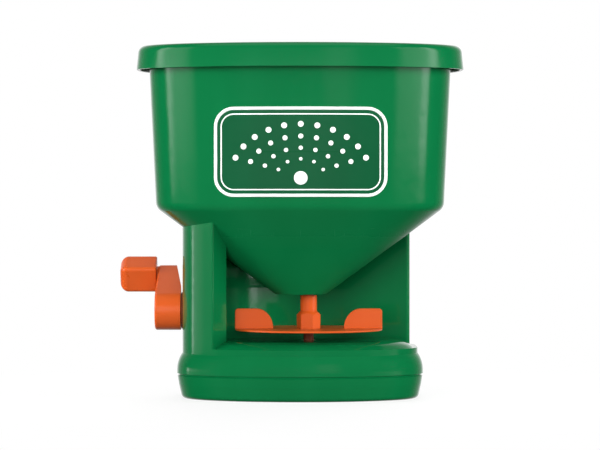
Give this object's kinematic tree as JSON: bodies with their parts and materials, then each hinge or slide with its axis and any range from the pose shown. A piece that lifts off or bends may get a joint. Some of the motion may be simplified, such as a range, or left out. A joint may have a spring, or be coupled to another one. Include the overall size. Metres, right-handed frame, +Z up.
{
  "type": "garden spreader",
  "caption": "Hand-held broadcast spreader: lidded hopper over an open throwing bay, side crank geared to a finned spinner, rear grip with a trigger for the flow gate.",
  "frame": {"origin": "middle of the flat underside of the base tray, below the hopper's axis", "axes": "+Z up, -Y to the throwing side, crank on the -X side, handle on the +Y side"},
  "size_m": [0.2429, 0.2027, 0.246],
  "materials": {
    "green_plastic": "glossy moulded",
    "orange_plastic": "satin gloss moulded",
    "gear_plastic": "natural nylon",
    "dark_plastic": "satin",
    "grip_rubber": "matte soft",
    "steel": "zinc plated"
  },
  "bodies": {
    "frame_body": {"base_tray": "green_plastic", "main_housing": "green_plastic", "hopper": "green_plastic", "handle": "green_plastic", "grip_sleeve": "grip_rubber", "hinge_pins": "steel", "lid_brackets": "green_plastic", "bracket_rivets": "steel", "idler_axle": "steel", "idler_clip": "steel", "lower_bush": "gear_plastic", "deck_bush": "gear_plastic", "upper_bush": "gear_plastic", "crank_bush": "dark_plastic", "inner_bush": "gear_plastic", "tray_screws": "steel", "hopper_screws": "steel", "handle_screws": "steel", "gate_spring": "steel"},
    "lid": {"lid": "green_plastic"},
    "crank": {"crank_arm": "orange_plastic", "crank_shaft": "steel", "crank_gear": "gear_plastic", "crank_screw": "steel", "crank_washer": "steel", "knob_axle": "steel"},
    "knob": {"crank_knob": "orange_plastic", "knob_cap": "orange_plastic"},
    "idler": {"idler_gear": "gear_plastic"},
    "spinner": {"spinner": "orange_plastic", "drive_shaft": "dark_plastic", "spinner_pinion": "gear_plastic", "agitator": "orange_plastic"},
    "gate": {"gate_plate": "steel", "pull_rod": "steel", "trigger": "orange_plastic", "gate_rivet": "steel", "trigger_screw": "steel"}
  },
  "joints": [
    {"name": "crank_turn", "type": "hinge", "parent": "frame_body", "child": "crank", "pos_m": [-0.09, 0.017, 0.0605], "axis": [1, 0, 0], "continuous": true},
    {"name": "knob_spin", "type": "hinge", "parent": "crank", "child": "knob", "pos_m": [-0.11, 0.053, 0.0853], "axis": [1, 0, 0], "continuous": true},
    {"name": "idler_turn", "type": "hinge", "parent": "frame_body", "child": "idler", "pos_m": [-0.0324, 0.017, 0.0265], "axis": [0, 0, 1], "continuous": true},
    {"name": "spinner_turn", "type": "hinge", "parent": "frame_body", "child": "spinner", "pos_m": [0.006, 0, 0.05], "axis": [0, 0, 1], "continuous": true},
    {"name": "lid_hinge", "type": "hinge", "parent": "frame_body", "child": "lid", "pos_m": [0, 0.0875, 0.2355], "axis": [-1, 0, 0], "range_deg": [0, 105]},
    {"name": "gate_slide", "type": "slide", "parent": "frame_body", "child": "gate", "axis": [0, 1, 0], "range_m": [0, 0.009], "stiffness_N_per_m": 300, "springref_m": -0.002, "deforming": ["gate_spring"]}
  ],
  "couplings": [
    {"joint": "idler_turn", "follows": "crank_turn", "ratio": -1.0303},
    {"joint": "spinner_turn", "follows": "crank_turn", "ratio": 3.7778}
  ]
}
